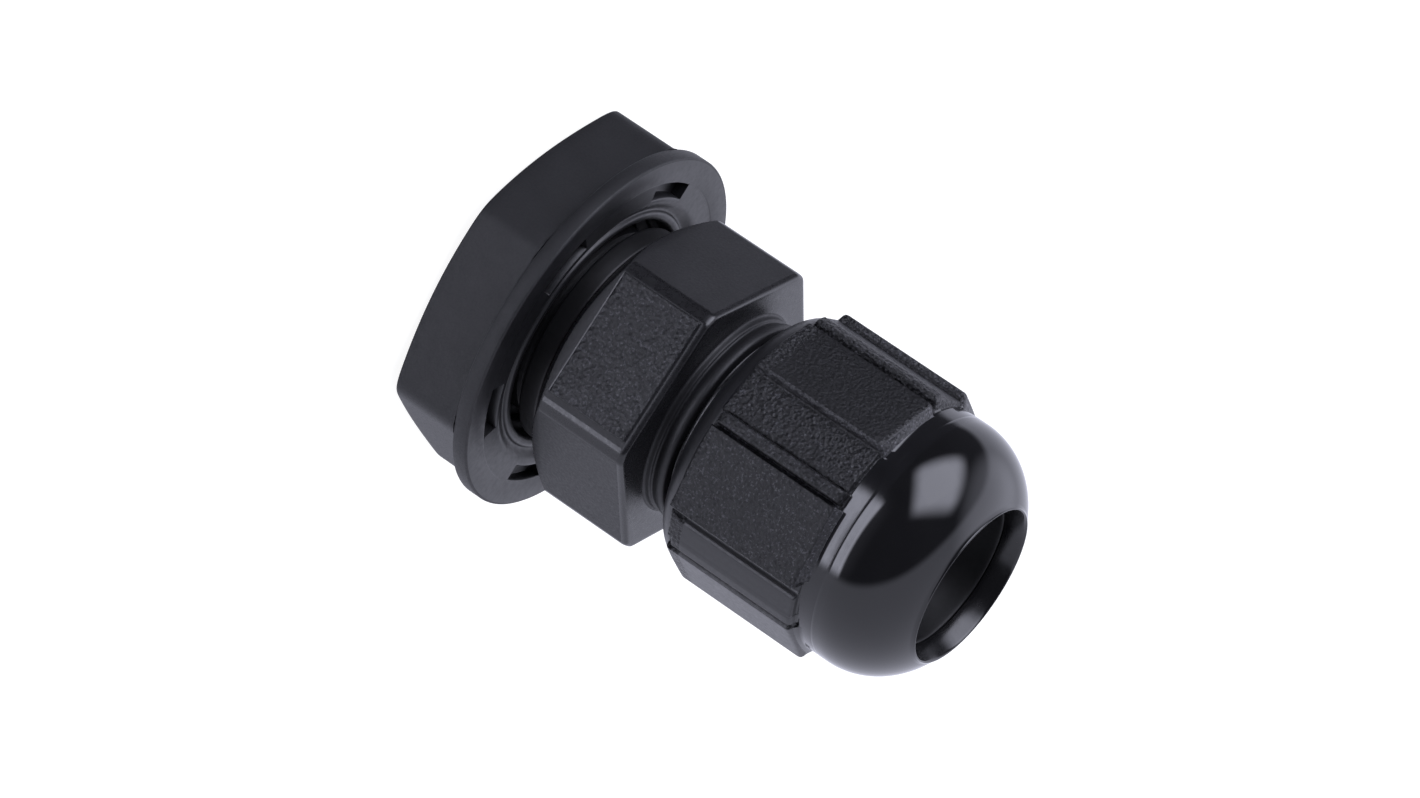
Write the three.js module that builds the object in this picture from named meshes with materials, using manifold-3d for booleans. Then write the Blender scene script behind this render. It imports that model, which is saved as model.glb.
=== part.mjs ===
// Cable gland, moulded polyamide, M16 x 1.5, with locknut, domed cap nut,
// clamping collet and rubber seal insert.
// Millimetres, +Z along the cable axis, from the locknut towards the domed cap nut.
// Origin: centre of the locknut's back face.

import * as THREE from 'three';
import { mergeVertices } from 'three/addons/utils/BufferGeometryUtils.js';
import Module from 'manifold-3d';

// ---------------------------------------------------------------- dimensions
// Angles named "bearing" run clockwise from +Y (seen from +Z looking down).

const PITCH = 1.5;                 // both threads
const THREAD_STEPS = 24;           // facets per turn of thread
const ROUND = 48;                  // facets on plain round faces

// locknut
const LN_AF = 24.1;                // across flats
const LN_BEARING = 10.7;           // bearing of one corner
const LN_CORNER_R = 13.7;          // corners turned down to this radius
const LN_CHAMFER_R = 10.72;        // flat annulus radius on the back face
const LN_CHAMFER_SLOPE = 0.285;
const LN_H = 7.0;                  // total height
const LN_FLANGE_R = 13.57;
const LN_FLANGE_Z = 5.8;
const LN_POCKET_R = [10.5, 11.65]; // moulding pockets in the flange face
const LN_POCKET_W = 22;            // degrees
const LN_POCKET_D = 0.8;
const LN_POCKET_BEARING = 12.3;
const LN_DISH_R = 9.9;
const LN_LIP_R = 9.0;
const LN_LIP_Z = 6.72;
const LN_THREAD_ROOT = 8.1;
const LN_THREAD_CREST = 7.42;

// sealing ring under the hexagon
const RING_R = [7.2, 8.25];
const RING_Z = [7.22, 8.33];

// body
const B_AF = 19.0;
const B_BEARING = 26.2;
const B_CORNER_R = 10.72;
const B_SEAT_Z = 8.63;             // underside of the hexagon
const B_SEAT_R = 8.45;
const B_HEX_TOP = 17.15;
const B_STEM_Z = 0.6;              // end of the lower thread
const B_STEM_ROOT = 7.2;
const B_STEM_CREST = 7.9;
const B_UNDERCUT_R = 6.95;
const B_BORE_R = 5.3;
const B_COLLAR_R = 7.5;            // plain band above the hexagon
const B_COLLAR_Z = 17.65;
const B_SHOULDER_R = 7.6;          // second plain band, next to the upper thread
const B_SHOULDER_Z = [18.05, 18.85];
const B_GROOVE_R = 7.15;
const B_NECK_ROOT = 6.9;           // upper thread
const B_NECK_CREST = 7.6;
const B_NECK_Z = 26.6;             // rim that carries the fingers
const B_SEAL_R = 6.0;              // seat bore for the seal insert
const B_SEAL_Z = 24.3;

// clamping fingers
const F_COUNT = 10;
const F_Z = 26.9;
const F_LEN = 6.3;
const F_R = [5.95, 6.85];
const F_SLOT = 1.0;
const F_LEAN = 4.0;                // degrees inwards at rest
const F_HINGE_R = 6.4;
const F_TIP_TAPER = 0.3;

// seal insert
const S_BORE = 4.6;
const S_Z = [26.5, 36.9];
const S_FLANGE_Z = 35.5;
const S_FLANGE_R = 5.75;

// cap nut
const C_Z = 19.6;                  // open end
const C_RIM_R = 8.25;
const C_CONE_R = 9.6;
const C_CONE_Z = 21.0;
const C_GRIP_Z = [21.25, 31.4];     // panels and ridges
const C_RIDGE_R = 10.4;
const C_STRIP_R = 9.65;
const C_PANEL_R = [10.25, 10.05];
const C_BAND_R = 9.35;
const C_DOME_Z = 33.487;
const C_DOME_R = 9.345;
const C_DOME_C = 4.202;            // radius of the dome curve's centre circle
const C_DOME_H = 5.518;
const C_DOME_E = [1.15, 1.02];     // dome curve exponents, radius and height
const C_MOUTH_R = 5.3;
const C_LIP_R = 5.85;
const C_TOP_Z = 38.72;
const C_THREAD_ROOT = 7.82;
const C_THREAD_CREST = 7.14;
const C_COUNTERBORE_R = 7.95;
const C_POCKET_R = 6.05;           // holds the seal insert's flange
const C_CONE_IN = [[7.45, 28.6], [6.55, 35.1]];

const RAD = Math.PI / 180;

// ---------------------------------------------------------------- helpers
const wasm = await Module();
wasm.setup();

function toSolid(geometry) {
  const g = geometry.index ? geometry.clone() : geometry.clone();
  g.deleteAttribute('normal');
  g.deleteAttribute('uv');
  const m = mergeVertices(g, 1e-4);
  return new wasm.Manifold(new wasm.Mesh({
    numProp: 3,
    vertProperties: new Float32Array(m.attributes.position.array),
    triVerts: new Uint32Array(m.index.array),
  }));
}

function toGeometry(solid) {
  const mesh = solid.getMesh();
  const g = new THREE.BufferGeometry();
  g.setAttribute('position', new THREE.BufferAttribute(new Float32Array(mesh.vertProperties), 3));
  g.setIndex(new THREE.BufferAttribute(new Uint32Array(mesh.triVerts), 1));
  g.computeVertexNormals();
  return g;
}

// point at a bearing (degrees, clockwise from +Y) and radius
function at(bearing, r) {
  return new THREE.Vector2(r * Math.sin(bearing * RAD), r * Math.cos(bearing * RAD));
}

// solid of revolution about Z from [radius, z] pairs, starting and ending on the axis
function turned(profile, segments = ROUND) {
  const pts = profile.map(([r, z]) => new THREE.Vector2(r, z));
  const g = new THREE.LatheGeometry(pts, segments, Math.PI / 2);
  g.rotateX(Math.PI / 2);
  return toSolid(orient(g));
}

// turns the faces outwards when a closed surface was wound inwards
function orient(g) {
  const n = g.index ? g.toNonIndexed() : g;
  const p = n.attributes.position;
  let v = 0;
  const a = new THREE.Vector3(), b = new THREE.Vector3(), c = new THREE.Vector3();
  for (let i = 0; i < p.count; i += 3) {
    a.fromBufferAttribute(p, i);
    b.fromBufferAttribute(p, i + 1);
    c.fromBufferAttribute(p, i + 2);
    v += a.dot(b.cross(c));
  }
  if (v < 0) {
    for (let i = 0; i < p.count; i += 3) {
      for (const k of ['X', 'Y', 'Z']) {
        const t = p['get' + k](i + 1);
        p['set' + k](i + 1, p['get' + k](i + 2));
        p['set' + k](i + 2, t);
      }
    }
  }
  return n;
}

// closed ring of revolution
function turnedRing(profile, segments = ROUND) {
  const pts = [...profile, profile[0]].map(([r, z]) => new THREE.Vector2(r, z));
  const g = new THREE.LatheGeometry(pts, segments, Math.PI / 2);
  g.rotateX(Math.PI / 2);
  return toSolid(orient(g));
}

function prism(points, z0, z1) {
  const g = new THREE.ExtrudeGeometry(new THREE.Shape(points), {
    depth: z1 - z0, bevelEnabled: false, steps: 1, curveSegments: 8,
  });
  g.translate(0, 0, z0);
  return toSolid(orient(g));
}

function hexagon(af, cornerBearing, z0, z1) {
  const r = af / 2 / Math.cos(30 * RAD);
  const pts = [];
  for (let k = 5; k >= 0; k--) pts.push(at(cornerBearing + 60 * k, r));
  return prism(pts, z0, z1);
}

// right-hand helical ridge, [foot radius, crest radius], sunk a little into its core
function ridge({ foot, crest, z0, turns, phase, footW = 0.95, crestW = 0.25, runout = 6 }) {
  const n = Math.round(turns * THREAD_STEPS);
  const sign = Math.sign(crest - foot);
  const sink = foot - sign * 0.22;
  const sinkW = footW + 0.1;
  const pos = [], idx = [];
  for (let i = 0; i <= n; i++) {
    const k = Math.min(1, (i + 0.4) / runout, (n - i + 0.4) / runout);
    const rc = foot + (crest - foot) * k;
    const wc = crestW + (footW - crestW) * (1 - k) * 0.3;
    const a = (i + phase) * 2 * Math.PI / THREAD_STEPS;
    const z = z0 + PITCH * i / THREAD_STEPS;
    for (const [r, dz] of [[sink, -sinkW / 2], [rc, -wc / 2], [rc, wc / 2], [sink, sinkW / 2]]) {
      pos.push(r * Math.cos(a), r * Math.sin(a), z + dz);
    }
  }
  for (let i = 0; i < n; i++) {
    for (let j = 0; j < 4; j++) {
      const p = 4 * i + j, q = 4 * i + (j + 1) % 4;
      idx.push(p, q, q + 4, p, q + 4, p + 4);
    }
  }
  idx.push(0, 2, 1, 0, 3, 2);
  const e = 4 * n;
  idx.push(e, e + 1, e + 2, e, e + 2, e + 3);
  const g = new THREE.BufferGeometry();
  g.setAttribute('position', new THREE.Float32BufferAttribute(pos, 3));
  g.setIndex(idx);
  return toSolid(orient(g));
}

function domePoint(k) {
  const t = k * Math.PI / 2;
  return [
    C_DOME_C + (C_DOME_R - C_DOME_C) * Math.pow(Math.cos(t), C_DOME_E[0]),
    C_DOME_Z + C_DOME_H * Math.pow(Math.sin(t), C_DOME_E[1]),
  ];
}

// ---------------------------------------------------------------- locknut
function makeLocknut() {
  const hex = hexagon(LN_AF, LN_BEARING, 0, LN_FLANGE_Z + 0.1);
  const t = LN_CHAMFER_SLOPE;
  const envelope = turned([
    [0, 0], [LN_CHAMFER_R, 0], [LN_CORNER_R, (LN_CORNER_R - LN_CHAMFER_R) * t],
    [LN_CORNER_R, LN_FLANGE_Z + 0.1], [0, LN_FLANGE_Z + 0.1],
  ], 72);
  const flange = turned([
    [0, LN_FLANGE_Z], [LN_FLANGE_R, LN_FLANGE_Z], [LN_FLANGE_R, LN_H],
    [LN_DISH_R, LN_H], [LN_DISH_R - 0.35, LN_H - 0.55], [LN_LIP_R + 0.26, LN_H - 0.55],
    [LN_LIP_R + 0.1, LN_LIP_Z - 0.05], [LN_LIP_R - 0.15, LN_LIP_Z], [LN_LIP_R - 0.45, LN_LIP_Z - 0.15],
    [0, LN_LIP_Z - 0.15],
  ], 72);
  let nut = hex.intersect(envelope).add(flange);
  for (let k = 0; k < 6; k++) {
    const b = LN_POCKET_BEARING + 60 * k;
    const pts = [];
    for (let j = 0; j <= 3; j++) pts.push(at(b + LN_POCKET_W * (0.5 - j / 3), LN_POCKET_R[1]));
    for (let j = 3; j >= 0; j--) pts.push(at(b + LN_POCKET_W * (0.5 - j / 3), LN_POCKET_R[0]));
    nut = nut.subtract(prism(pts, LN_H - LN_POCKET_D, LN_H + 1));
  }
  const hole = turned([
    [0, -1], [9.05, -1], [LN_THREAD_ROOT + 0.05, 0.55], [LN_THREAD_ROOT, 0.6],
    [LN_THREAD_ROOT, 5.0], [LN_LIP_R - 0.5, 5.35], [LN_LIP_R - 0.5, 8], [0, 8],
  ], THREAD_STEPS);
  nut = nut.subtract(hole);
  return nut.add(ridge({
    foot: LN_THREAD_ROOT, crest: LN_THREAD_CREST, z0: 1.35, turns: 2.25, phase: 0,
  }));
}

// ---------------------------------------------------------------- body
function makeBody() {
  const t = Math.tan(30 * RAD);
  const hex = hexagon(B_AF, B_BEARING, B_SEAT_Z, B_HEX_TOP);
  const envelope = turned([
    [0, B_SEAT_Z], [B_SEAT_R, B_SEAT_Z],
    [B_CORNER_R, B_SEAT_Z + (B_CORNER_R - B_SEAT_R) * t],
    [B_CORNER_R, B_HEX_TOP - 0.3], [B_CORNER_R - 0.3, B_HEX_TOP], [0, B_HEX_TOP],
  ], 72);
  let body = hex.intersect(envelope);
  body = body.add(turned([
    [0, B_STEM_Z], [B_STEM_ROOT - 0.45, B_STEM_Z], [B_STEM_ROOT, B_STEM_Z + 0.45],
    [B_STEM_ROOT, 5.95], [B_UNDERCUT_R, 6.1], [B_UNDERCUT_R, B_SEAT_Z + 0.5], [0, B_SEAT_Z + 0.5],
  ], THREAD_STEPS));
  body = body.add(turned([
    [0, B_HEX_TOP - 0.5], [B_COLLAR_R, B_HEX_TOP - 0.5], [B_COLLAR_R, B_COLLAR_Z - 0.15],
    [B_COLLAR_R - 0.1, B_COLLAR_Z], [B_GROOVE_R, B_COLLAR_Z + 0.15], [B_GROOVE_R, B_SHOULDER_Z[0] - 0.05],
    [B_SHOULDER_R - 0.1, B_SHOULDER_Z[0] + 0.05], [B_SHOULDER_R, B_SHOULDER_Z[0] + 0.2],
    [B_SHOULDER_R, B_SHOULDER_Z[1] - 0.2], [B_SHOULDER_R - 0.15, B_SHOULDER_Z[1]], [0, B_SHOULDER_Z[1]],
  ]));
  body = body.add(turned([
    [0, B_SHOULDER_Z[1] - 0.5], [B_NECK_ROOT, B_SHOULDER_Z[1] - 0.5], [B_NECK_ROOT, B_NECK_Z], [0, B_NECK_Z],
  ], THREAD_STEPS));
  body = body.add(ridge({
    foot: B_STEM_ROOT, crest: B_STEM_CREST, z0: 1.35 - PITCH / 2 + PITCH * 0.25, turns: 2.5, phase: 6,
  }));
  body = body.add(ridge({
    foot: B_NECK_ROOT, crest: B_NECK_CREST, z0: 18.55 + PITCH / 2, turns: 4.25, phase: 12,
  }));
  const bore = turned([
    [0, -1], [B_BORE_R, -1], [B_BORE_R, B_SEAL_Z - 0.6], [B_SEAL_R, B_SEAL_Z], [B_SEAL_R, 40], [0, 40],
  ], THREAD_STEPS);
  return body.subtract(bore);
}

// ---------------------------------------------------------------- clamping finger
// One finger, standing upright at bearing 90 (towards +X), before it is leaned and placed.
function fingerGeometry() {
  const half = Math.PI / F_COUNT;
  const pts = [];
  const ro = F_R[1], ri = F_R[0];
  const ho = half - F_SLOT / 2 / ro, hi = half - F_SLOT / 2 / ri;
  for (let j = 0; j <= 4; j++) pts.push(new THREE.Vector2(ro * Math.cos(ho * (j / 2 - 1)), ro * Math.sin(ho * (j / 2 - 1))));
  for (let j = 4; j >= 0; j--) pts.push(new THREE.Vector2(ri * Math.cos(hi * (j / 2 - 1)), ri * Math.sin(hi * (j / 2 - 1))));
  const g = new THREE.ExtrudeGeometry(new THREE.Shape(pts), { depth: F_LEN, bevelEnabled: false, steps: 4 });
  const p = g.attributes.position;
  for (let i = 0; i < p.count; i++) {
    const x = p.getX(i), y = p.getY(i), z = p.getZ(i);
    const r = Math.hypot(x, y);
    if (r > (ri + ro) / 2 && z > F_LEN - 0.1) {
      const k = (r - F_TIP_TAPER) / r;
      p.setXY(i, x * k, y * k);
    }
  }
  g.translate(-F_HINGE_R, 0, 0);
  return toGeometry(toSolid(orient(g)));
}

// ---------------------------------------------------------------- cap nut
function makeCapNut() {
  const dome = [];
  for (let i = 0; i <= 14; i++) {
    const [r, z] = domePoint(i / 18);
    if (r > C_LIP_R) dome.push([r, z]);
  }
  let nut = turned([
    [0, C_Z], [C_RIM_R, C_Z], [C_CONE_R, C_CONE_Z], [C_CONE_R, C_GRIP_Z[1] + 0.3],
    [C_BAND_R, C_GRIP_Z[1] + 0.7], [C_BAND_R, C_DOME_Z - 0.3], ...dome,
    [C_LIP_R, C_TOP_Z - 0.1], [C_MOUTH_R + 0.3, C_TOP_Z], [0, C_TOP_Z],
  ]);
  const pts = [];
  for (let k = 0; k < 6; k++) {
    const b = 60 * k;
    pts.push(at(b - 3.4, C_RIDGE_R), at(b + 3.2, C_RIDGE_R), at(b + 3.3, C_STRIP_R), at(b + 11.6, C_STRIP_R),
      at(b + 19.8, C_STRIP_R), at(b + 24, C_PANEL_R[0]), at(b + 56.4, C_PANEL_R[1]));
  }
  pts.reverse();
  nut = nut.add(prism(pts, C_GRIP_Z[0], C_GRIP_Z[1]));
  // sloped ends of the grip
  nut = nut.intersect(turned([
    [0, C_Z - 1], [C_RIM_R, C_Z - 1], [C_RIM_R, C_Z], [C_CONE_R, C_CONE_Z], [C_CONE_R + 0.02, C_GRIP_Z[0]],
    [C_RIDGE_R + 0.2, C_GRIP_Z[0] + 0.35], [C_RIDGE_R + 0.2, C_GRIP_Z[1] - 0.2],
    [C_CONE_R, C_GRIP_Z[1] + 0.3], [C_BAND_R + 0.001, C_GRIP_Z[1] + 0.7], [C_BAND_R + 0.001, 40], [0, 40],
  ]));
  const inside = turned([
    [0, C_Z - 1], [C_COUNTERBORE_R, C_Z - 1], [C_COUNTERBORE_R, C_Z + 0.9], [C_THREAD_ROOT, C_Z + 1.1],
    [C_THREAD_ROOT, 28.3], ...C_CONE_IN, [C_POCKET_R, 35.3], [C_POCKET_R, 37.15],
    [C_MOUTH_R, 37.2], [C_MOUTH_R, C_TOP_Z - 0.25], [C_MOUTH_R + 0.25, C_TOP_Z], [C_MOUTH_R + 0.25, 40], [0, 40],
  ], THREAD_STEPS);
  nut = nut.subtract(inside);
  return nut.add(ridge({
    foot: C_THREAD_ROOT, crest: C_THREAD_CREST, z0: 18.55 + 2 * PITCH - PITCH / 2 + 0.25 * PITCH, turns: 3.75, phase: 6,
  }));
}

// ---------------------------------------------------------------- assembly
const gland = new THREE.Group();

const nylon = (roughness) => new THREE.MeshStandardMaterial({ color: 0x17171a, roughness, metalness: 0 });
const rubber = () => new THREE.MeshStandardMaterial({ color: 0x1d1d1e, roughness: 0.78, metalness: 0 });

function addMesh(name, geometry, material, parent = gland) {
  const mesh = new THREE.Mesh(geometry, material);
  mesh.name = name;
  parent.add(mesh);
  return mesh;
}

addMesh('locknut', toGeometry(makeLocknut()), nylon(0.42));
addMesh('gland_body', toGeometry(makeBody()), nylon(0.5));
addMesh('sealing_ring', toGeometry(turnedRing([
  [RING_R[0], RING_Z[0]], [RING_R[1] - 0.15, RING_Z[0]], [RING_R[1], RING_Z[0] + 0.15],
  [RING_R[1], RING_Z[1] - 0.15], [RING_R[1] - 0.15, RING_Z[1]], [RING_R[0], RING_Z[1]],
])), rubber());
addMesh('seal_insert', toGeometry(turnedRing([
  [S_BORE, S_Z[0]], [5.5, S_Z[0]], [5.2, 33.4], [5.2, S_FLANGE_Z], [S_FLANGE_R, S_FLANGE_Z + 0.15],
  [S_FLANGE_R, S_Z[1]], [S_BORE, S_Z[1]],
], 36)), rubber());
addMesh('cap_nut', toGeometry(makeCapNut()), nylon(0.3));

const finger = fingerGeometry();
for (let k = 0; k < F_COUNT; k++) {
  const place = new THREE.Group();
  place.rotation.z = (k + 0.5) * 2 * Math.PI / F_COUNT;
  const hinge = new THREE.Group();
  hinge.position.set(F_HINGE_R, 0, F_Z);
  hinge.rotation.y = -F_LEAN * RAD;
  place.add(hinge);
  gland.add(place);
  addMesh(`clamping_finger_${String(k + 1).padStart(2, '0')}`, finger, nylon(0.5), hinge);
}

export default gland;
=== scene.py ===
import bpy
import math
import numpy as np
from mathutils import Vector, Matrix

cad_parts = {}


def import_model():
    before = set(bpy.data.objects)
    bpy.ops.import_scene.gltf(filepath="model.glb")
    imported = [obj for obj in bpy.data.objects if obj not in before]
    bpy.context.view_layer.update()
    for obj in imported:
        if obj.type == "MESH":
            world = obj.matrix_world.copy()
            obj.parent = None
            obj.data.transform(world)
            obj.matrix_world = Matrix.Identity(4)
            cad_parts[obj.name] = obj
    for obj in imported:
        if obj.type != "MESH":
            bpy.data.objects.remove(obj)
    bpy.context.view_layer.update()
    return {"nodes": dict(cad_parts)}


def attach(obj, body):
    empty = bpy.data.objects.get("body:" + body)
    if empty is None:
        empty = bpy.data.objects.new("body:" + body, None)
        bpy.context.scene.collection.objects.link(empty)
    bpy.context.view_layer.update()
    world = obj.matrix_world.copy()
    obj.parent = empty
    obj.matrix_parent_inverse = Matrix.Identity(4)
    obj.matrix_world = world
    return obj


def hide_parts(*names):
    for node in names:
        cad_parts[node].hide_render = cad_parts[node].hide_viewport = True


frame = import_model()
MM = 0.001

# ------------------------------------------------------------------ camera
def set_camera(a_deg, b_deg, p0, tx, ty, k, f_px):
    a, b = math.radians(a_deg), math.radians(b_deg)
    A = Vector((0, -math.sin(b), math.cos(b)))
    X = Vector((1, 0, 0))
    right = X * math.sin(a) + A * math.cos(a)
    up = X * math.cos(a) - A * math.sin(a)
    back = Vector((0, math.cos(b), math.sin(b)))
    s = 0.76e-3
    target = Vector((0, 0, p0)) + s * (-tx * right + ty * up)
    data = bpy.data.cameras.new("camera")
    ob = bpy.data.objects.new("camera", data)
    bpy.context.scene.collection.objects.link(ob)
    m = Matrix((right, up, back)).transposed().to_4x4()
    m.translation = target + back * (s / k)
    ob.matrix_world = m
    data.sensor_width = 36
    data.lens = f_px / k / 1420 * 36
    data.clip_start = 0.01
    data.clip_end = 50
    bpy.context.scene.camera = ob
    return right, up, back


CAM = set_camera(34.14, 21.17, 0.01478, -1.906, -0.451, 0.00182, 11.45)
bpy.context.scene.view_settings.view_transform = "Standard"


# ------------------------------------------------------------------ materials
def new_material(name):
    m = bpy.data.materials.new(name)
    m.use_nodes = True
    nt = m.node_tree
    nt.nodes.clear()
    out = nt.nodes.new("ShaderNodeOutputMaterial")
    bsdf = nt.nodes.new("ShaderNodeBsdfPrincipled")
    nt.links.new(bsdf.outputs[0], out.inputs[0])
    return m, nt, bsdf


def coords(nt, scale):
    tc = nt.nodes.new("ShaderNodeTexCoord")
    mp = nt.nodes.new("ShaderNodeMapping")
    mp.inputs["Scale"].default_value = (scale, scale, scale)
    nt.links.new(tc.outputs["Object"], mp.inputs["Vector"])
    return mp.outputs[0]


def noise(nt, vec, scale, detail=3.0, rough=0.55):
    n = nt.nodes.new("ShaderNodeTexNoise")
    n.inputs["Scale"].default_value = scale
    n.inputs["Detail"].default_value = detail
    n.inputs["Roughness"].default_value = rough
    nt.links.new(vec, n.inputs["Vector"])
    return n.outputs["Fac"]


def ramp(nt, fac, a, b, lo=0.35, hi=0.65):
    r = nt.nodes.new("ShaderNodeMapRange")
    r.inputs["From Min"].default_value = lo
    r.inputs["From Max"].default_value = hi
    r.inputs["To Min"].default_value = a
    r.inputs["To Max"].default_value = b
    nt.links.new(fac, r.inputs["Value"])
    return r.outputs[0]


def colour_mix(nt, fac, c0, c1):
    mix = nt.nodes.new("ShaderNodeMix")
    mix.data_type = "RGBA"
    mix.inputs["A"].default_value = (*c0, 1)
    mix.inputs["B"].default_value = (*c1, 1)
    nt.links.new(fac, mix.inputs["Factor"])
    return mix.outputs["Result"]


def bump(nt, height, strength, distance, normal=None):
    b = nt.nodes.new("ShaderNodeBump")
    b.inputs["Strength"].default_value = strength
    b.inputs["Distance"].default_value = distance
    nt.links.new(height, b.inputs["Height"])
    if normal is not None:
        nt.links.new(normal, b.inputs["Normal"])
    return b.outputs[0]


def plastic(name, c0, c1, rough, grain_mm, grain_depth, spec=0.5, sparkle=0.0, fine_depth=0.0, lines=0.0, glint_speck=0.0):
    """Black moulded nylon: c0, c1 colours, rough (lo, hi), grain size and depth in mm."""
    m, nt, bsdf = new_material(name)
    v = coords(nt, 1000.0)
    cloud = noise(nt, v, 0.35, 4.0, 0.6)
    base = colour_mix(nt, ramp(nt, cloud, 0, 1, 0.3, 0.7), c0, c1)
    grain = noise(nt, v, 1.0 / grain_mm, 3.0, 0.62)
    if glint_speck:
        # painted glints: pale specks on the crests of the grain
        mx = nt.nodes.new("ShaderNodeMix")
        mx.data_type = "RGBA"
        nt.links.new(ramp(nt, noise(nt, v, 1.25 / grain_mm, 2.0, 0.7), 0, 1, 0.55, 0.70), mx.inputs[0])
        nt.links.new(base, mx.inputs[6])
        mx.inputs[7].default_value = (glint_speck, glint_speck, glint_speck * 1.12, 1)
        base = mx.outputs[2]
    nt.links.new(base, bsdf.inputs["Base Color"])
    rg = ramp(nt, grain, rough[0], rough[1], 0.3, 0.7)
    nt.links.new(rg, bsdf.inputs["Roughness"])
    bsdf.inputs["Specular IOR Level"].default_value = spec
    nrm = bump(nt, grain, 1.0, grain_depth * MM)
    if sparkle:
        vo = nt.nodes.new("ShaderNodeTexVoronoi")
        vo.inputs["Scale"].default_value = 1.0 / (grain_mm * 1.25)
        nt.links.new(v, vo.inputs["Vector"])
        nrm = bump(nt, vo.outputs["Distance"], 1.0, sparkle * MM, nrm)
    if fine_depth:
        nrm = bump(nt, noise(nt, v, 3.0 / grain_mm, 2.0), 1.0, fine_depth * MM, nrm)
    if lines:
        # fine turning lines round the axis
        mp = nt.nodes.new("ShaderNodeMapping")
        mp.inputs["Scale"].default_value = (0.10, 0.10, 9.0)
        nt.links.new(v, mp.inputs["Vector"])
        ln = noise(nt, mp.outputs[0], 1.0, 4.0, 0.65)
        nrm = bump(nt, ln, 1.0, lines * MM, nrm)
    nt.links.new(nrm, bsdf.inputs["Normal"])
    return m


M_GLOSS = plastic("cap_gloss", (0.0035, 0.0035, 0.004), (0.0050, 0.0050, 0.0055), (0.05, 0.09), 2.5, 0.0010)
M_BAND = plastic("cap_band", (0.005, 0.005, 0.0057), (0.0075, 0.0075, 0.0085), (0.09, 0.14), 0.35, 0.0008, lines=0.0014)
M_BORE = plastic("cap_bore", (0.0032, 0.0032, 0.0036), (0.0048, 0.0048, 0.0053), (0.20, 0.28), 0.6, 0.0015, spec=0.45)
M_SATIN = plastic("cap_satin", (0.006, 0.006, 0.0068), (0.010, 0.010, 0.0113), (0.36, 0.46), 0.30, 0.003, spec=0.55)
M_SPARK = plastic("cap_spark", (0.0028, 0.0028, 0.0032), (0.0045, 0.0045, 0.0050), (0.33, 0.52), 0.23, 0.085, spec=0.40, sparkle=0.065, glint_speck=0.050)
M_SPARKA = plastic("cap_spark_fine", (0.0028, 0.0028, 0.0032), (0.0045, 0.0045, 0.0050), (0.40, 0.55), 0.21, 0.045, spec=0.36, sparkle=0.030, glint_speck=0.020)
# paler grain along the moulded edges: a painted highlight standing in for the lit panel edges
M_EDGE_HIGHLIGHT = plastic("cap_edge_painted_highlight", (0.0080, 0.0080, 0.0090), (0.0160, 0.0160, 0.0178), (0.34, 0.50), 0.22, 0.080, spec=0.50, sparkle=0.060, glint_speck=0.085)
M_BODY = plastic("body_spark", (0.005, 0.005, 0.0057), (0.009, 0.009, 0.010), (0.46, 0.60), 0.20, 0.012, spec=0.45, fine_depth=0.003)
M_BODYC = plastic("body_coarse", (0.0035, 0.0035, 0.004), (0.006, 0.006, 0.0068), (0.32, 0.50), 0.26, 0.085, spec=0.45, sparkle=0.070, glint_speck=0.050)
M_BODYS = plastic("body_smooth", (0.005, 0.005, 0.0057), (0.008, 0.008, 0.009), (0.24, 0.34), 0.35, 0.0025)
M_COLLAR = plastic("body_collar", (0.005, 0.005, 0.0057), (0.008, 0.008, 0.009), (0.46, 0.56), 0.35, 0.003, spec=0.4)
M_THREAD = plastic("thread_matt", (0.0035, 0.0035, 0.004), (0.0055, 0.0055, 0.006), (0.50, 0.62), 0.35, 0.003, spec=0.28)
M_NUT = plastic("locknut_satin", (0.005, 0.005, 0.0057), (0.009, 0.009, 0.010), (0.50, 0.62), 0.16, 0.008, spec=0.42, fine_depth=0.002)
M_NUTS = plastic("locknut_smooth", (0.005, 0.005, 0.0057), (0.008, 0.008, 0.009), (0.34, 0.44), 0.4, 0.003, spec=0.45)
M_RING = plastic("ring_rubber", (0.005, 0.005, 0.0053), (0.008, 0.008, 0.0084), (0.34, 0.44), 0.5, 0.003, spec=0.30)
M_INSERT = plastic("insert_rubber", (0.0032, 0.0032, 0.0034), (0.0050, 0.0050, 0.0052), (0.45, 0.60), 0.5, 0.003, spec=0.3)
M_RUBBER = plastic("rubber", (0.0045, 0.0045, 0.0047), (0.0065, 0.0065, 0.0068), (0.20, 0.28), 0.6, 0.002, spec=0.5)


# ------------------------------------------------------------------ meshes
def bearings(extra=(), step=1.0):
    vals = list(np.arange(0, 360, step)) + [e % 360 for e in extra]
    vals = sorted(vals)
    keep_first = set(round(e % 360, 4) for e in extra)
    out = []
    for v in vals:
        if out and v - out[-1] < 0.07:
            if round(v, 4) in keep_first and round(out[-1], 4) not in keep_first:
                out[-1] = v
                continue
            if round(v, 4) not in keep_first:
                continue
            if v - out[-1] < 0.004:
                continue
        out.append(v)
    return np.array(out)


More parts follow.
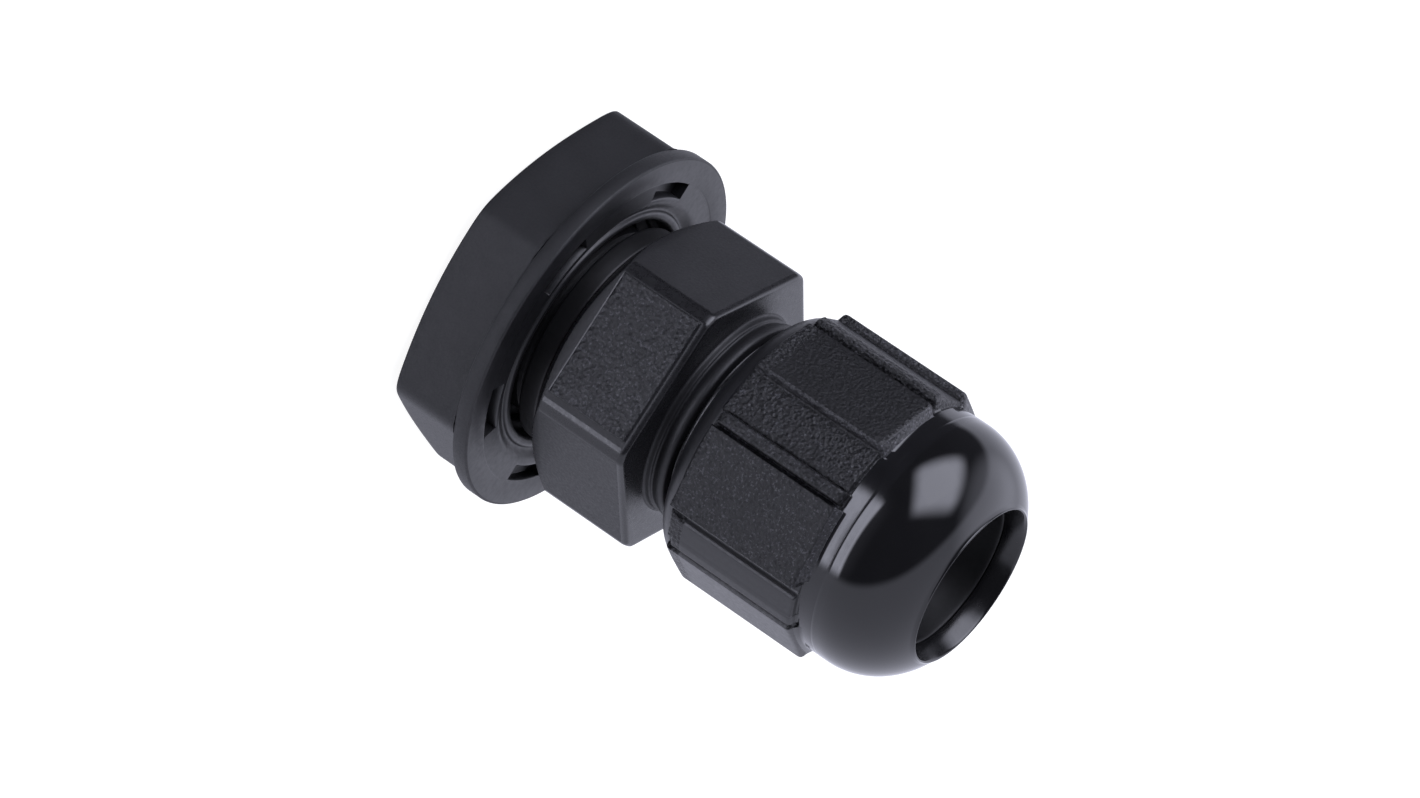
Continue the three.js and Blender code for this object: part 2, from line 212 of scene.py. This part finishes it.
def polar_mesh(name, b, rings, materials, sharp=40.0):
    """Closed body from rings of points. Each ring: (radius, z, material index of the band that starts here), scalars or arrays over the bearings."""
    n = len(b)
    th = np.radians(b)
    verts, mats = [], []
    for ring in rings:
        r = np.broadcast_to(np.asarray(ring[0], float), (n,))
        z = np.broadcast_to(np.asarray(ring[1], float), (n,))
        mats.append(np.broadcast_to(np.asarray(ring[2] if len(ring) > 2 else 0), (n,)))
        verts.append(np.stack([r * np.sin(th), r * np.cos(th), z], 1))
    verts = np.concatenate(verts) * MM
    m = len(rings)
    i = np.arange(m)[:, None]
    k = np.arange(n)[None, :]
    i2, k2 = (i + 1) % m, (k + 1) % n
    quads = np.stack([i * n + k, i2 * n + k, i2 * n + k2, i * n + k2], -1).reshape(-1, 4)
    matidx = np.stack(mats).reshape(-1)
    me = bpy.data.meshes.new(name)
    me.from_pydata(verts.tolist(), [], quads.tolist())
    for mt in materials:
        me.materials.append(mt)
    me.polygons.foreach_set("material_index", matidx.astype(np.int32))
    me.polygons.foreach_set("use_smooth", np.ones(len(me.polygons), bool))
    me.update()
    me.validate()
    me.set_sharp_from_angle(angle=math.radians(sharp))
    ob = bpy.data.objects.new(name, me)
    bpy.context.scene.collection.objects.link(ob)
    return ob


def hex_radius(b, af, corner, rc, soft=0.25):
    """Radius of a hexagon at bearings b, corners turned down to rc with a soft edge."""
    d = (b - corner) % 60 - 30
    r = af / 2 / np.cos(np.radians(d))
    # smooth minimum of the flat and the turned corner
    h = np.clip(0.5 + 0.5 * (rc - r) / (soft * 0.12), 0, 1)
    return rc * (1 - h) + r * h - soft * 0.12 * h * (1 - h)


def thread(b, z, z0, turns, pitch, z_at_zero, foot_w=0.95, crest_w=0.25):
    """Height 0..1 of a right-hand ridge at bearings b and height z. z_at_zero: ridge height at the +X direction."""
    phi = np.radians((90 - b) % 360)
    base = z_at_zero + pitch * phi / (2 * math.pi)
    kk = np.round((z - base) / pitch)
    zc = base + kk * pitch
    d = np.abs(z - zc)
    p = np.clip((foot_w / 2 - d) / ((foot_w - crest_w) / 2), 0, 1)
    u = (zc - z0) / pitch * 24
    n = turns * 24
    run = np.clip(np.minimum((u + 0.4) / 6, (n - u + 0.4) / 6), 0, 1)
    run = np.where((u < -0.4) | (u > n + 0.4), 0, run)
    return p * run


# ---- cap nut -----------------------------------------------------
P1 = (24.6, 10.26)
P2 = (55.4, 10.06)


def cell(points):
    """Repeats (bearing, value) points of one 60 degree cell round the circle."""
    out = []
    for k in range(-1, 7):
        out += [(x + 60 * k, y) for x, y in points]
    return np.array(sorted(out))


def chord(th, p1, p2):
    a1, a2 = math.radians(p1[0]), math.radians(p2[0])
    x1, y1 = p1[1] * math.sin(a1), p1[1] * math.cos(a1)
    x2, y2 = p2[1] * math.sin(a2), p2[1] * math.cos(a2)
    ux, uy = np.sin(np.radians(th)), np.cos(np.radians(th))
    return ((x2 - x1) * y1 - (y2 - y1) * x1) / ((x2 - x1) * uy - (y2 - y1) * ux)


SEC = [(-4.6, 10.05), (-4.25, 9.98), (-3.95, 9.82), (-3.6, 9.70), (-3.1, 9.66), (-2.75, 9.70), (-2.45, 9.95),
       (-2.3, 10.20), (-2.15, 10.32), (-1.9, 10.38), (-1.55, 10.40),
       (1.9, 10.40), (2.25, 10.38), (2.5, 10.28), (2.62, 10.10), (2.75, 9.90), (3.0, 9.80), (3.3, 9.82), (3.6, 9.86), (4.2, 9.87),
       (8.0, 9.80), (14.0, 9.70), (19.0, 9.66), (21.6, 9.66), (22.3, 9.67), (22.75, 9.72), (23.05, 9.86), (23.3, 10.02),
       (23.55, 10.13), (23.85, 10.205), (24.2, 10.24), (24.6, 10.26)]


# the lowest visible cell: its panel is wider and its strip is smooth and has no ridge
ALT = [(-4.0, 9.84), (-3.6, 9.70), (-3.1, 9.66), (-2.75, 9.70), (-2.45, 9.86), (-2.2, 9.93), (-1.5, 9.96), (1.9, 9.94), (3.0, 9.91), (4.2, 9.87), (8.0, 9.80),
       (12.2, 9.76), (13.0, 9.72), (13.5, 9.60), (14.0, 9.42), (14.6, 9.30), (16.0, 9.26), (18.3, 9.26), (19.4, 9.28), (19.6, 9.5), (19.8, 9.85), (20.0, 10.12),
       (20.25, 10.34), (20.6, 10.46), (21.0, 10.49)]


def build_cap():
    feats = []
    for k in range(6):
        feats += [x + 60 * k for x, _ in SEC]
    feats += [x - 60 for x, _ in ALT]
    b = bearings(feats, 1.0)
    pts = cell(SEC + [(25.4, chord(25.4, P1, P2)), (27, chord(27, P1, P2))] +
               [(t, chord(t, P1, P2)) for t in np.arange(28, 55, 1.0)] + [(54.9, chord(54.9, P1, P2))])
    S = np.interp(b, pts[:, 0], pts[:, 1])
    alt = ALT + [(t, chord(t, P1, P2)) for t in (21.5, 22.5, 23.5, 24.6, 25.4)]
    bb = (b + 180) % 360 - 180
    low = (bb > -63.9) & (bb < -35.0)
    S = np.where(low, np.interp(bb + 60, [a for a, _ in alt], [r for _, r in alt]), S)
    smooth_low = ((bb > -96.5) & (bb < -40.3))
    loc = (b + 4.5) % 60 - 4.5
    ridge = (loc < 3.0)
    strip = (loc >= 3.0) & (loc < 22.6)
    panel = ~ridge & ~strip
    G, T, F, B, D = 0, 1, 2, 3, 4         # gloss, spark texture, satin, turned band, bore

    upper = panel & (bb > 0)
    # edge masks the strip along each panel's lower edge; material 6 there is a painted highlight (paler colour) for the
    # lit edge
    edge = (loc > 22.9) & (loc < 24.5) & ~low
    # PB and TE give material 6, the same painted highlight, to the panels' chamfer towards the dome
    PB = np.where(panel & ~smooth_low, 6, B)
    TX = np.where(smooth_low, F, np.where(edge, 6, T))
    TE = np.where(smooth_low, F, np.where(panel, 6, T))

    def grip(z, base, mr, ms, mp):
        m = np.where(ridge, mr, np.where(strip, ms, mp))
        return base + m * (S - base), z

    R = []
    # rim and cone
    for r, z in [(8.14, 19.60), (8.20, 19.62), (8.26, 19.67), (8.31, 19.73)]:
        R.append((r, z, F))
    for t in np.linspace(0.04, 0.96, 9):
        q = t * math.pi / 2
        R.append((8.29 + 1.29 * (0.35 * t + 0.65 * math.sin(q)), 19.70 + 1.30 * (0.35 * t + 0.65 * (1 - math.cos(q))), F))
    R += [(9.585, 21.0, F), (9.60, 21.05, F)]
    for z, base, mr, ms, mp, mat in [
        (21.10, 9.61, 0.0, 0.35, 0.35, F), (21.16, 9.62, 0.0, 0.8, 0.72, T), (21.24, 9.62, 0.02, 1, 0.9, T), (21.36, 9.62, 0.05, 1, 0.97, T),
        (21.46, 9.62, 0.55, 1, 1, T), (21.52, 9.62, 0.9, 1, 1, T), (21.62, 9.62, 1, 1, 1, T)]:
        r, z = grip(z, base, mr, ms, mp)
        R.append((r, z, mat))
    for z in np.arange(22.2, 31.0, 0.6):
        R.append((S, z, np.where(smooth_low, F, np.where(edge, 6, np.where(upper, 5, T)))))
    for z, base, mr, ms, mp, mat in [
        (31.14, 9.5, 1, 1, 1, TX), (31.24, 9.5, 0.97, 1, 0.98, TX), (31.33, 9.49, 0.90, 0.99, 0.94, TX), (31.40, 9.47, 0.80, 0.93, 0.88, TE), (31.45, 9.45, 0.68, 0.80, 0.80, TE),
        (31.49, 9.42, 0.55, 0.45, 0.70, TE), (31.52, 9.38, 0.42, 0.12, 0.61, TE), (31.55, 9.35, 0.28, 0.02, 0.54, TE), (31.59, 9.342, 0.12, 0, 0.46, PB), (31.65, 9.34, 0.02, 0, 0.36, PB),
        (31.72, 9.339, 0, 0, 0.22, PB), (31.80, 9.338, 0, 0, 0.08, PB), (31.85, 9.337, 0, 0, 0, B)]:
        r, z = grip(z, base, mr, ms, mp)
        R.append((r, z, mat))
    R += [(9.336, 32.1, B), (9.335, 32.4, B), (9.335, 32.74, B), (9.334, 32.76, B), (9.331, 32.78, B),
          (9.335, 32.80, B), (9.342, 32.82, B), (9.345, 33.0, B), (9.345, 33.22, B), (9.345, 33.40, G)]
    C, H, E1, E2, Z0, RD = 4.202, 5.518, 1.15, 1.02, 33.487, 9.345
    for k in np.linspace(0.0, 1, 72) ** 1.1:
        t = k * math.pi / 2
        r = C + (RD - C) * max(math.cos(t), 0) ** E1
        z = Z0 + H * math.sin(t) ** E2
        if r > 6.02:
            R.append((r, z, G))
    R += [(5.99, 38.60, G), (5.965, 38.62, G), (5.955, 38.655, G), (5.93, 38.688, G), (5.895, 38.70, G), (5.86, 38.685, G), (5.82, 38.635, G), (5.775, 38.54, D), (5.725, 38.41, D),
          (5.67, 38.26, D), (5.61, 38.09, D), (5.55, 37.92, D), (5.49, 37.73, D), (5.44, 37.54, D), (5.41, 37.38, D), (5.40, 37.30, D), (5.39, 37.24, F), (5.46, 37.2, F), (5.95, 37.2, F), (6.03, 37.15, F), (6.05, 37.05, F),
          (6.05, 35.45, F), (6.12, 35.32, F), (6.45, 35.15, F), (6.56, 35.0, F), (7.0, 31.8, F), (7.42, 28.75, F), (7.5, 28.6, F), (7.74, 28.42, F), (7.82, 28.3, F)]
    for z in np.arange(28.2, 20.75, -0.085):
        h = thread(b, z, 21.175, 3.75, 1.5, 20.8)
        R.append((7.82 - 0.68 * h, z, F))
    R += [(7.82, 20.72, F), (7.95, 20.55, F), (7.95, 19.78, F), (7.99, 19.68, F), (8.06, 19.62, F), (8.14, 19.60, F)]
    ob = polar_mesh("cap_nut_shell", b, R, [M_GLOSS, M_SPARK, M_SATIN, M_BAND, M_BORE, M_SPARKA, M_EDGE_HIGHLIGHT], sharp=50)
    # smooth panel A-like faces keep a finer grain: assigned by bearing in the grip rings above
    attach(ob, "cap_nut")
    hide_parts("cap_nut")
    return ob


# ---- body --------------------------------------------------------
def build_body():
    corner = 26.2
    feats = []
    for k in range(6):
        feats += [corner + 60 * k + d for d in (-3.4, -2.9, -2.5, -2.1, -1.6, 0, 1.6, 2.1, 2.5, 2.9, 3.4)]
    feats += [23.1, 23.3, 23.6, 24.0, 22.6, -27.2, -27.6, -27.9, -28.1, -26.6]
    b = bearings(feats, 1.0)
    AF, RC = 19.0, 10.72
    H = hex_radius(b, AF, corner, RC, 0.9)
    face = ((b + 180) % 360 - 180)
    front = (face > -28.0) & (face < 23.2)
    fp = np.clip(np.minimum((23.35 - face) / 0.25, (face + 28.15) / 0.25), 0, 1)   # raised panel mask
    cornerm = (np.abs((b - corner + 30) % 60 - 30) < 3.0)
    S, C, T, K = 0, 1, 2, 3   # fine spark, coarse, smooth, matt collar
    R = [(6.55, 0.6, T), (6.75, 0.6, T), (6.85, 0.66, T), (7.15, 0.98, T), (7.2, 1.05, T)]
    for z in np.arange(1.1, 5.9, 0.085):
        h = thread(b, z, 0.975, 2.5, 1.5, 0.6)
        R.append((7.2 + 0.7 * h, z, 4))
    R += [(7.2, 5.98, 4), (7.0, 6.12, 4), (6.95, 6.2, 4), (6.95, 8.45, 4), (7.02, 8.58, 4), (7.15, 8.63, 4), (8.3, 8.63, T), (8.42, 8.65, T)]
    t30 = math.tan(math.radians(30))
    zc = 8.63 + (H - 8.45) * t30
    for t in (0.08, 0.3, 0.55, 0.8, 0.93):
        R.append((8.45 + (H - 8.45) * t, 8.63 + (H - 8.45) * t30 * t + 0.0, T))
    R.append((H - 0.03, zc + 0.01, T))
    R.append((H - 0.004, zc + 0.07, S))
    side = np.where(cornerm, T, S)
    zs = [0.2]
    # straight flank: rings from the chamfer edge to the front edge, aligned with the raised panel
    def ring(z, raise_, mat):
        zz = np.maximum(z, zc + 0.12)
        R.append((H + raise_ * fp * 0.075, zz, mat))
    low = np.where(front, T, side)
    ring(10.10, 0, low)
    ring(10.18, 0, low)
    pm = np.where(front, C, side)
    ring(10.22, 0.85, pm)
    ring(10.28, 1, pm)
    for z in np.arange(10.9, 16.4, 0.6):
        ring(z, 1, pm)
    ring(16.44, 1, pm)
    ring(16.50, 0.85, low)
    ring(16.56, 0, low)
    R += [(H - 0.004, 16.72, T), (H - 0.02, 16.85, T), (H - 0.05, 16.95, T), (H - 0.10, 17.04, T), (H - 0.17, 17.10, T), (H - 0.26, 17.138, T), (H - 0.38, 17.15, T)]
    for t in (0.3, 0.6, 0.85):
        R.append((H * (1 - t) + 7.75 * t, 17.15, T))
    R += [(7.70, 17.15, K), (7.60, 17.18, K), (7.54, 17.24, K), (7.51, 17.32, K), (7.5, 17.42, K), (7.5, 17.54, K), (7.49, 17.60, K), (7.46, 17.645, K), (7.41, 17.67, K),
          (7.36, 17.70, K), (7.33, 17.75, K), (7.33, 17.82, K), (7.36, 17.90, K), (7.41, 17.98, K), (7.46, 18.06, K), (7.51, 18.15, K), (7.55, 18.25, K),
          (7.58, 18.36, K), (7.59, 18.48, K), (7.58, 18.60, K), (7.54, 18.71, K), (7.47, 18.80, K), (7.38, 18.85, K), (7.0, 18.86, T), (6.93, 18.89, T), (6.9, 18.95, T)]
    for z in np.arange(19.0, 26.2, 0.085):
        h = thread(b, z, 19.3, 4.25, 1.5, 18.55)
        R.append((6.9 + 0.7 * h, z, T))
    R += [(6.9, 26.25, T), (6.9, 26.45, T), (6.85, 26.55, T), (6.75, 26.6, T), (6.15, 26.6, T), (6.05, 26.55, T), (6.0, 26.45, T),
          (6.0, 24.4, T), (5.96, 24.25, T), (5.36, 23.75, T), (5.3, 23.6, T), (5.3, 15.0, T), (5.3, 1.2, T), (5.34, 0.98, T), (5.55, 0.68, T), (5.68, 0.6, T)]
    ob = polar_mesh("gland_body_shell", b, R, [M_BODY, M_BODYC, M_BODYS, M_COLLAR, M_THREAD], sharp=50)
    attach(ob, "gland_body")
    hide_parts("gland_body")
    return ob


# ---- locknut -----------------------------------------------------
def build_locknut():
    corner = 10.7
    pocket_c, pw = 12.3, 11.0
    feats = []
    for k in range(6):
        feats += [corner + 60 * k + d for d in (-6, -5.4, -5, -4.6, -4, -3, -1.5, -0.5, 0.5, 1.5, 0, 3, 4, 4.6, 5, 5.4, 6)]
        for sgn in (-1, 1):
            feats += [pocket_c + 60 * k + sgn * (pw + d) for d in (-0.35, -0.12, 0.12, 0.35)]
    b = bearings(feats, 1.0)
    H = hex_radius(b, 24.1, corner, 13.66, 2.6)
    fine = np.arange(-180, 180, 0.1)
    hf = hex_radius(fine, 24.1, corner, 13.66, 2.6)
    ker = np.exp(-0.5 * (np.arange(-60, 61) * 0.1 / 1.5) ** 2)
    hf = np.convolve(np.concatenate([hf[-60:], hf, hf[:60]]), ker / ker.sum(), "valid")
    H = np.interp((b + 180) % 360 - 180, fine, hf, period=360)
    pd = np.abs((b - pocket_c + 30) % 60 - 30)
    pm = np.clip((pw + 0.12 - pd) / 0.24, 0, 1)
    pms = np.clip((pw + 0.35 - pd) / 0.7, 0, 1)
    S, T, D = 0, 1, 2
    R = [(9.12, 0.0, S), (9.3, 0.0, S), (10.0, 0.0, S), (10.6, 0.0, S), (10.72, 0.01, S)]
    zc = (H - 10.72) * 0.285
    for t in (0.15, 0.4, 0.65, 0.88):
        R.append((10.72 + (H - 10.72) * t, zc * t + 0.008, S))
    R += [(H - 0.05, zc + 0.0, S), (H - 0.012, zc + 0.06, S), (H, zc + 0.16, S)]
    for z in (1.5, 2.2, 3.0, 3.8, 4.6, 5.3, 5.62):
        R.append((H, np.maximum(z, zc + 0.2), S))
    step = np.maximum(13.57 - H, 0.0)
    R += [(H, 5.70, S), (H + np.minimum(step, 0.03), 5.765, S), (H + np.minimum(step, 0.09) , 5.8, S),
          (H + np.maximum(step - 0.12, 0) * 0.5 + np.minimum(step, 0.09) * 0.5, 5.8, S), (13.57 - 0.10, 5.8, S), (13.57 - 0.03, 5.83, S), (13.57, 5.9, S)]
    R += [(13.57, 6.4, S), (13.57, 6.84, S), (13.55, 6.92, S), (13.49, 6.98, S), (13.40, 7.0, T), (12.6, 7.0, T), (11.84, 7.0, T), (11.80, 6.985, T),
          (11.76, 6.96, T), (11.72, 6.955, T)]
    def zz(z, m, d):
        return z - d * m
    R += [(11.68, 6.955, T), (11.63, zz(6.95, pms, 0.05), T), (11.60, zz(6.95, pm, 0.80), T), (11.55, zz(6.95, pm, 0.82), T), (11.0, zz(6.95, pm, 0.82), T),
          (10.56, zz(6.95, pm, 0.82), T), (10.52, zz(6.95, pm, 0.80), T), (10.49, zz(6.95, pms, 0.05), T), (10.44, 6.95, T), (10.25, 6.945, T), (10.1, 6.92, T), (9.95, 6.84, T),
          (9.8, 6.72, T), (9.65, 6.58, T), (9.5, 6.48, T), (9.38, 6.44, T), (9.29, 6.46, T), (9.24, 6.53, T), (9.2, 6.63, T), (9.13, 6.71, T),
          (9.03, 6.755, T), (8.92, 6.76, T), (8.78, 6.73, T), (8.66, 6.66, D), (8.57, 6.55, D), (8.52, 6.42, D), (8.5, 6.28, D), (8.5, 5.4, D), (8.46, 5.3, D), (8.2, 5.08, D), (8.1, 4.98, D)]
    for z in np.arange(4.92, 0.62, -0.085):
        h = thread(b, z, 1.35, 2.25, 1.5, 1.35)
        R.append((8.1 - 0.68 * h, z, D))
    R += [(8.1, 0.6, D), (8.2, 0.5, T), (8.9, 0.08, T), (9.0, 0.02, T)]
    ob = polar_mesh("locknut_shell", b, R, [M_NUT, M_NUTS, M_THREAD], sharp=50)
    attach(ob, "locknut")
    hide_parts("locknut")
    return ob


# ---- rubber parts ------------------------------------------------
def build_ring():
    b = bearings((), 2.0)
    R = [(7.2, 7.1), (7.26, 7.0), (7.34, 6.96), (8.06, 6.96), (8.14, 6.975), (8.20, 7.02), (8.24, 7.10), (8.25, 7.2), (8.25, 8.3), (8.23, 8.42), (8.17, 8.5), (8.06, 8.54),
         (7.34, 8.54), (7.24, 8.5), (7.2, 8.42)]
    ob = polar_mesh("sealing_ring_shell", b, R, [M_RING], sharp=60)
    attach(ob, "sealing_ring")
    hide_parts("sealing_ring")


def build_insert():
    b = bearings((), 2.5)
    R = [(4.72, 26.5), (5.32, 26.5), (5.45, 26.56), (5.5, 26.68), (5.4, 29.0), (5.28, 31.5), (5.2, 33.4), (5.2, 35.3), (5.26, 35.46), (5.45, 35.55), (5.64, 35.6),
         (5.73, 35.68), (5.75, 35.8), (5.75, 36.9), (5.745, 37.06), (5.73, 37.12), (5.70, 37.15), (5.5, 37.15), (5.40, 37.12), (5.36, 37.04), (5.33, 36.9), (5.28, 36.6),
         (5.22, 36.3), (5.15, 36.0), (5.07, 35.7), (4.98, 35.4), (4.88, 35.1), (4.78, 34.8), (4.69, 34.5), (4.62, 34.2), (4.6, 33.9),
         (4.6, 33.0), (4.6, 30.0), (4.6, 26.9), (4.63, 26.68), (4.66, 26.56)]
    ob = polar_mesh("seal_insert_shell", b, R, [M_INSERT], sharp=60)
    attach(ob, "seal_insert")
    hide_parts("seal_insert")


def build_fingers():
    """Each clamping finger with broken edges."""
    for k in range(10):
        node = "clamping_finger_%02d" % (k + 1)
        src = frame["nodes"][node]
        me = src.data.copy()
        me.materials.clear()
        me.materials.append(M_BODYS)
        ob = bpy.data.objects.new(node + "_shell", me)
        bpy.context.scene.collection.objects.link(ob)
        mod = ob.modifiers.new("weld", "WELD")
        mod.merge_threshold = 1e-6
        bv = ob.modifiers.new("bevel", "BEVEL")
        bv.width = 0.00009
        bv.segments = 2
        bv.limit_method = "ANGLE"
        bv.angle_limit = math.radians(35)
        dg = bpy.context.evaluated_depsgraph_get()
        new = bpy.data.meshes.new_from_object(ob.evaluated_get(dg))
        ob.modifiers.clear()
        ob.data = new
        for p in new.polygons:
            p.use_smooth = True
        new.set_sharp_from_angle(angle=math.radians(40))
        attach(ob, node)
        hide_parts(node)


build_cap()
build_body()
build_locknut()
build_ring()
build_insert()
build_fingers()

# ------------------------------------------------------------------ floor
def floor():
    me = bpy.data.meshes.new("floor")
    s = 4.0
    me.from_pydata([(-s, -s, 0), (s, -s, 0), (s, s, 0), (-s, s, 0)], [], [(0, 1, 2, 3)])
    ob = bpy.data.objects.new("floor", me)
    bpy.context.scene.collection.objects.link(ob)
    ob.location.z = -0.00002
    m, nt, bsdf = new_material("floor")
    bsdf.inputs["Base Color"].default_value = (0.25, 0.25, 0.25, 1)
    bsdf.inputs["Roughness"].default_value = 1.0
    bsdf.inputs["Specular IOR Level"].default_value = 0.0
    bsdf.inputs["Emission Color"].default_value = (1, 1, 1, 1)
    bsdf.inputs["Emission Strength"].default_value = 0.92
    me.materials.append(m)
    ob.visible_glossy = False
    ob.visible_shadow = False
    ob.visible_diffuse = False


floor()


# ------------------------------------------------------------------ light
def direction(az, el):
    """World direction of a camera-side azimuth and elevation."""
    right, up, back = CAM
    a, e = math.radians(az), math.radians(el)
    return right * (math.sin(a) * math.cos(e)) + up * math.sin(e) + back * (math.cos(a) * math.cos(e))


def world():
    """White studio for the camera; soft boxes and a pale ground for everything else."""
    w = bpy.data.worlds.new("world")
    bpy.context.scene.world = w
    w.use_nodes = True
    nt = w.node_tree
    nt.nodes.clear()
    out = nt.nodes.new("ShaderNodeOutputWorld")
    tc = nt.nodes.new("ShaderNodeTexCoord")

    def dot(vec):
        n = nt.nodes.new("ShaderNodeVectorMath")
        n.operation = "DOT_PRODUCT"
        n.inputs[1].default_value = vec
        nt.links.new(tc.outputs["Generated"], n.inputs[0])
        return n.outputs["Value"]

    def math_node(op, a, b=None):
        n = nt.nodes.new("ShaderNodeMath")
        n.operation = op
        for i, v in enumerate((a, b)):
            if v is None:
                continue
            if isinstance(v, (int, float)):
                n.inputs[i].default_value = v
            else:
                nt.links.new(v, n.inputs[i])
        return n.outputs[0]

    def smooth(value, lo, hi, a=0.0, b=1.0):
        mr = nt.nodes.new("ShaderNodeMapRange")
        mr.interpolation_type = "SMOOTHSTEP"
        mr.inputs["From Min"].default_value = lo
        mr.inputs["From Max"].default_value = hi
        mr.inputs["To Min"].default_value = a
        mr.inputs["To Max"].default_value = b
        nt.links.new(value, mr.inputs["Value"])
        return mr.outputs[0]

    def unit(r, u, bk):
        right, up, back = CAM
        return (right * r + up * u + back * bk).normalized()

    def box(az, el, half_w, half_h, soft_w, soft_h, roll, strength):
        """A soft-edged rectangle in the sky; half sizes and soft edges in degrees."""
        d = direction(az, el).normalized()
        xx = CAM[1].cross(d).normalized()
        yy = d.cross(xx)
        q = math.radians(roll)
        x2 = xx * math.cos(q) + yy * math.sin(q)
        y2 = yy * math.cos(q) - xx * math.sin(q)
        dz = dot(d)
        safe = math_node("MAXIMUM", dz, 0.05)
        u = math_node("ABSOLUTE", math_node("DIVIDE", dot(x2), safe))
        v = math_node("ABSOLUTE", math_node("DIVIDE", dot(y2), safe))
        tw = [math.tan(math.radians(x)) for x in (half_w + soft_w, half_w - soft_w)]
        th = [math.tan(math.radians(x)) for x in (half_h + soft_h, half_h - soft_h)]
        m = math_node("MULTIPLY", smooth(u, tw[1], tw[0], 1, 0), smooth(v, th[1], th[0], 1, 0))
        m = math_node("MULTIPLY", m, smooth(dz, 0.05, 0.15))
        return math_node("MULTIPLY", m, strength)

    # white sweep below and behind the part, soft edge towards the dark front
    sweep = smooth(dot(unit(0.037, -0.673, -0.739)), -0.13, 0.03, 0, 0.95)
    side = smooth(dot(unit(0.98, 0.05, -0.2)), 0.80, 0.97, 0, 0.9)
    total = math_node("ADD", math_node("ADD", sweep, side), 0.09)
    for b in BOXES:
        total = math_node("ADD", total, box(*b))
    bg = nt.nodes.new("ShaderNodeBackground")
    bg.inputs["Color"].default_value = (0.95, 0.965, 1.14, 1)
    nt.links.new(total, bg.inputs["Strength"])
    bgw = nt.nodes.new("ShaderNodeBackground")
    bgw.inputs["Color"].default_value = (1, 1, 1, 1)
    bgw.inputs["Strength"].default_value = 1.0
    lp = nt.nodes.new("ShaderNodeLightPath")
    mix = nt.nodes.new("ShaderNodeMixShader")
    nt.links.new(lp.outputs["Is Camera Ray"], mix.inputs[0])
    nt.links.new(bg.outputs[0], mix.inputs[1])
    nt.links.new(bgw.outputs[0], mix.inputs[2])
    nt.links.new(mix.outputs[0], out.inputs[0])


# azimuth, elevation, half width, half height, soft edges, roll, strength
BOXES = [
    (46, 33, 23, 24, 8, 9, -14, 4.7),
    (-47.5, 7.5, 6.0, 32, 2.5, 5, -34, 5.6),
    (-52, 12, 24, 34, 12, 12, -34, 0.20),
]
world()

# one soft area lamp inside the key box
lamp = bpy.data.lights.new("soft_key", "AREA")
lamp.shape = "RECTANGLE"
lamp.size, lamp.size_y = 0.34, 0.30
lamp.energy = 0.06
lamp_ob = bpy.data.objects.new("soft_key", lamp)
bpy.context.scene.collection.objects.link(lamp_ob)
aim = direction(46, 33).normalized()
lamp_ob.location = Vector((0.0, 0.0, 0.020)) + aim * 0.55
lamp_ob.rotation_euler = aim.to_track_quat("Z", "Y").to_euler()
lamp_ob.visible_camera = False
